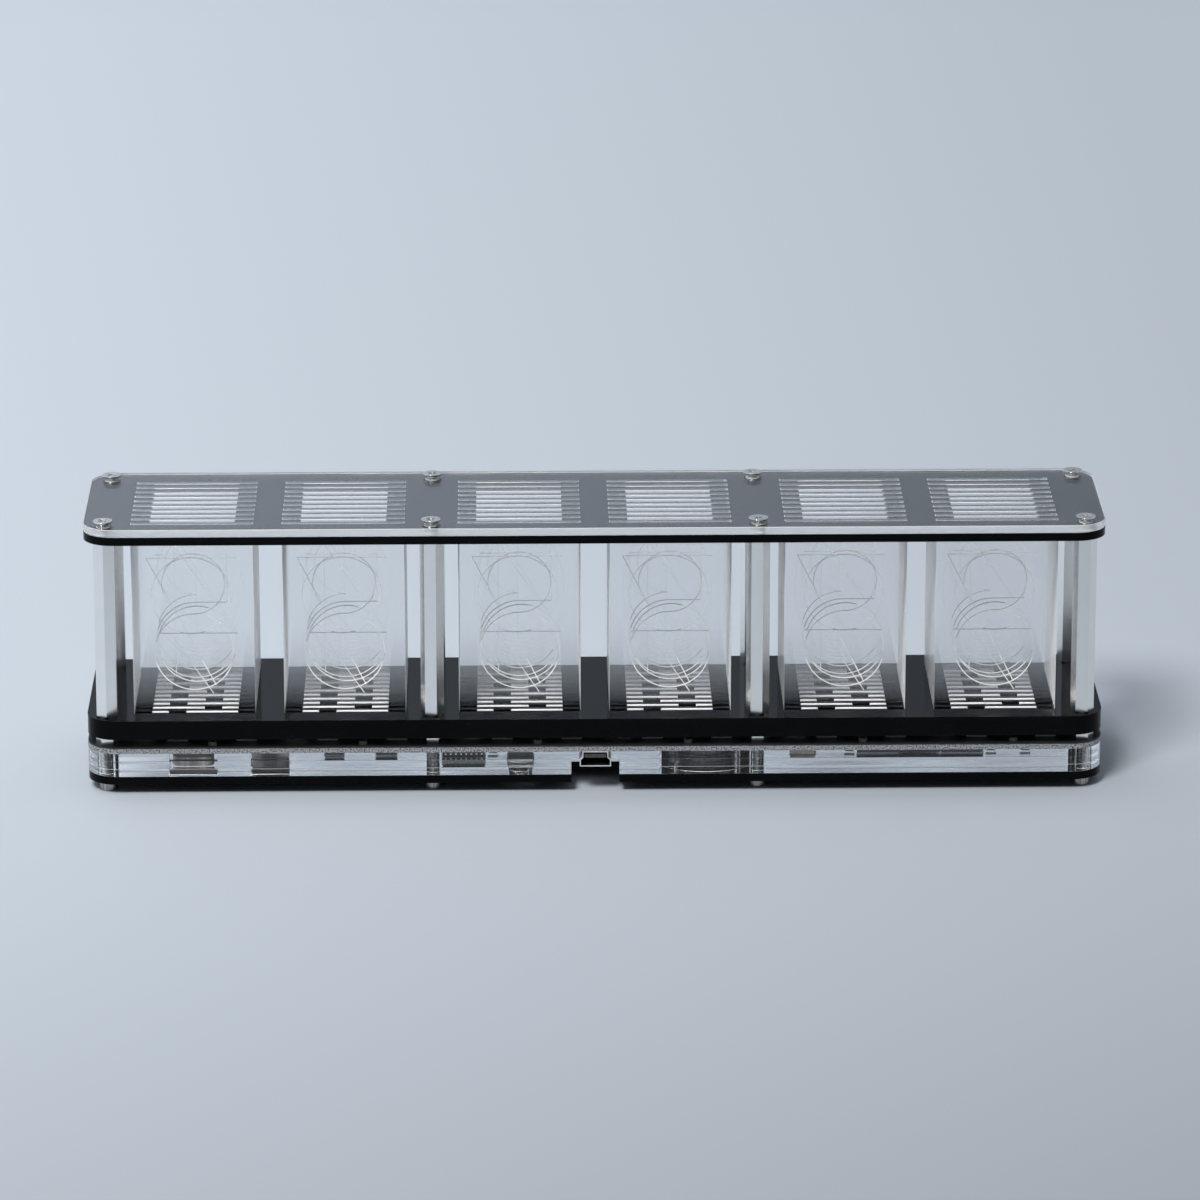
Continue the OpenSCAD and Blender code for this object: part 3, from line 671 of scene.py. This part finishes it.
def ring(bm, centre, radius_at, z):
    """Points round an axis, with a radius for each angle."""
    corners = []
    for i in range(ROUND_STEPS):
        t = 2 * math.pi * i / ROUND_STEPS
        radius = radius_at(t)
        corners.append(bm.verts.new((centre.x + radius * math.cos(t), centre.y + radius * math.sin(t), z)))
    return corners


def circle(radius):
    """The radius of a circle at any angle."""
    return lambda t: radius


def hexagon(across):
    """The radius by angle of a hexagon of a width across flats, with a corner along X."""
    sixth = math.pi / 3
    return lambda t: across / 2 / math.cos(t % sixth - sixth / 2)


def foot(bm, centre, radius):
    """A screw's cylindrical head, standing on the table, with a hexagonal recess below."""
    outlines = (
        (hexagon(RECESS_AF), RECESS_H),
        (hexagon(RECESS_AF), 0),
        (circle(radius - FOOT_EDGE), 0),
        (circle(radius), FOOT_EDGE),
        (circle(radius), FOOT_H - FOOT_EDGE),
        (circle(radius - FOOT_EDGE), FOOT_H),
    )
    rings = [ring(bm, centre, radius_at, z) for radius_at, z in outlines]
    for low, high in zip(rings, rings[1:]):
        for i in range(ROUND_STEPS):
            j = (i + 1) % ROUND_STEPS
            bm.faces.new((low[i], low[j], high[j], high[i]))
    bm.faces.new(rings[0][::-1])
    bm.faces.new(rings[-1])


def thread(bm, centre, low, high):
    """A shank whose crests and roots climb by one pitch a turn."""
    rows = 2 * round((high - low) / THREAD_PITCH)
    grid = []
    for k in range(rows):
        radius = SCREW_R - THREAD_DEPTH * (k % 2)
        row = ring(bm, centre, circle(radius), low + k * THREAD_PITCH / 2)
        for i, v in enumerate(row):
            v.co.z = min(high, v.co.z + THREAD_PITCH * i / ROUND_STEPS)
        grid.append(row)
    for k in range(rows - 3):
        for i in range(ROUND_STEPS - 1):
            bm.faces.new((grid[k][i], grid[k][i + 1], grid[k + 1][i + 1], grid[k + 1][i]))
        bm.faces.new((grid[k][-1], grid[k + 2][0], grid[k + 3][0], grid[k + 1][-1]))


def base_screws():
    """The long screws from below, with threads, and with heads that are the feet."""
    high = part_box("base_screws")[1]
    axes = screw_axes("base_screws")
    radius = high.x - max(a.x for a in axes)
    bm = bmesh.new()
    for axis in axes:
        foot(bm, axis, radius)
        thread(bm, axis, FOOT_H, high.z)
    mesh = new_mesh("base_screws_threaded", bm)
    smooth(mesh, THREAD_SHARP)
    obj = show("base_screws_threaded", mesh, [NICKEL, TURNED])
    for face in mesh.polygons:
        face.material_index = int(face.center.z < FOOT_H)
    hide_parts("base_screws")


def cover_screws():
    """The countersunk screws, with their sharp edges rounded."""
    obj = show("cover_screws_rounded", eased_mesh("cover_screws", 0), [NICKEL])
    round_edges(obj, HEAD_EDGE)
    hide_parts("cover_screws")


def socket_shell():
    """The socket's shell, bright on its rim and outside, with painted shade inside."""
    mesh = eased_mesh("usb_shell", 0)
    obj = show("usb_shell_rounded", mesh, [SHELL, SHADED_TIN])
    low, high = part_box("usb_shell")
    for face in mesh.polygons:
        away = face.center - (low + high) / 2
        away.y = 0
        face.material_index = int(abs(face.normal.y) < HALF_FACING and away.dot(face.normal) < 0)
    round_edges(obj, SHELL_EDGE)
    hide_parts("usb_shell")


def snap_dome():
    """The switch's snap dome, as imported and on a mesh of its own; the plunger would flatten it towards its
    rim.
    """
    obj = show("key_dome_sheet", eased_mesh("key_dome", 0), [TINNED])
    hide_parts("key_dome")
    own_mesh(obj)


def lamp_capacitors():
    """The capacitors beside the lamps, with tinned ends that are bright on top and carry painted shade on
    their sides.
    """
    mesh = eased_mesh("led_capacitors", 0)
    materials = [CERAMIC, TINNED, SHADED_TIN]
    obj = show("led_capacitors_tinned", mesh, materials)
    low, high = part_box("led_capacitors")
    for face in mesh.polygons:
        beside = any(abs(face.center.y - limit.y) < CAP_SKIN / 2 for limit in (low, high))
        if abs(face.center.z - high.z) < CAP_SKIN / 2:
            face.material_index = materials.index(TINNED)
        elif beside or abs(face.normal.x) > FACING:
            face.material_index = materials.index(SHADED_TIN)
    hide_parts("led_capacitors")


# Stage

def floor_material():
    """Pale blue-grey, with painted light that makes it lighter to the left and to the back."""
    mat, tree, shader = new_material("floor")
    painted_light_slopes = (("X", 0.2, -0.2, 0.346), ("Y", -0.3, 0, 0.366), ("Y", 0, 0.85, 0.288))
    shares = []
    for axis, start, stop, share in painted_light_slopes:
        shares.append(spread_between(tree, along(tree, axis), start, stop, 0, share))
    total = calculate(tree, "ADD", calculate(tree, "ADD", shares[0], shares[1]), shares[2])
    colour = ramp(tree, total, (0.302, 0.328, 0.356), (0.750, 0.814, 0.883), 0.0, 1.0)
    tree.links.new(colour, shader.inputs["Base Color"])
    shader.inputs["Roughness"].default_value = 0.9
    shader.inputs["Specular IOR Level"].default_value = 0.1
    return mat


def make_floor():
    """A plain floor, which belongs to the picture and not to the clock."""
    corners = [(x * FLOOR_HALF, y * FLOOR_HALF, 0) for x, y in ((-1, -1), (1, -1), (1, 1), (-1, 1))]
    mesh = bpy.data.meshes.new("floor")
    mesh.from_pydata(corners, [], [(0, 1, 2, 3)])
    mesh.materials.append(floor_material())
    obj = bpy.data.objects.new("floor", mesh)
    scene.collection.objects.link(obj)


def make_world():
    """Soft room light, brighter overhead, to the left and behind the clock."""
    world = bpy.data.worlds.new("studio")
    scene.world = world
    world.use_nodes = True
    tree = world.node_tree
    where = tree.nodes.new("ShaderNodeTexCoord")
    axes = split_axes(tree, where.outputs["Generated"])
    height = ramp(tree, axes["Z"], (0.40, 0.455, 0.53), (0.75, 0.77, 0.8), 0.3, 0.95)
    sideways = spread_between(tree, axes["X"], -0.12, 0.12, 1.3, 0.65)
    frontward = spread_between(tree, axes["Y"], -0.7, 0.1, 0.25, 1)
    both = calculate(tree, "MULTIPLY", sideways, frontward)
    light = mix_colours(tree, "MULTIPLY", 1, height, both)
    tree.links.new(light, tree.nodes["Background"].inputs["Color"])


def make_lamp():
    """A large soft lamp in front, above and to the left."""
    data = bpy.data.lights.new("key", "AREA")
    data.shape = "DISK"
    data.size = LAMP_SIZE
    data.energy = LAMP_POWER
    obj = bpy.data.objects.new("key_lamp", data)
    obj.location = LAMP_TOWARDS * LAMP_DISTANCE
    obj.rotation_euler = LAMP_TOWARDS.to_track_quat("Z", "Y").to_euler()
    scene.collection.objects.link(obj)


def make_camera():
    """The camera that was fitted to the photograph."""
    back = Vector((math.cos(CAMERA_PITCH) * math.sin(CAMERA_YAW),
                   -math.cos(CAMERA_PITCH) * math.cos(CAMERA_YAW), math.sin(CAMERA_PITCH)))
    level = Vector((math.cos(CAMERA_YAW), math.sin(CAMERA_YAW), 0))
    up = back.cross(level)
    right = level * math.cos(CAMERA_ROLL) + up * math.sin(CAMERA_ROLL)
    up = back.cross(right)
    data = bpy.data.cameras.new("camera")
    data.sensor_width = SENSOR
    data.lens = SENSOR * FOCAL / PICTURE
    data.clip_end = CAMERA_REACH
    obj = bpy.data.objects.new("camera", data)
    turn = Matrix((right, up, back)).transposed().to_4x4()
    obj.matrix_world = Matrix.Translation(CAMERA_TARGET + back * CAMERA_DISTANCE) @ turn
    scene.collection.objects.link(obj)
    scene.camera = obj


dress_nodes()
for layer in BASE_LAYERS:
    clear_sheet(layer, CLEAR, LAYER_EDGE)
clear_sheet("cover_plate", COVER_RIM, COVER_EDGE)
base_screws()
cover_screws()
socket_shell()
snap_dome()
lamp_capacitors()
for digit_name in DIGITS:
    numeral_plates(digit_name)
    engraving(digit_name)

make_floor()
make_world()
make_lamp()
make_camera()
scene.view_settings.view_transform = "Standard"
scene.cycles.max_bounces = 64
scene.cycles.transmission_bounces = 64
scene.cycles.glossy_bounces = 8
scene.cycles.transparent_max_bounces = 128
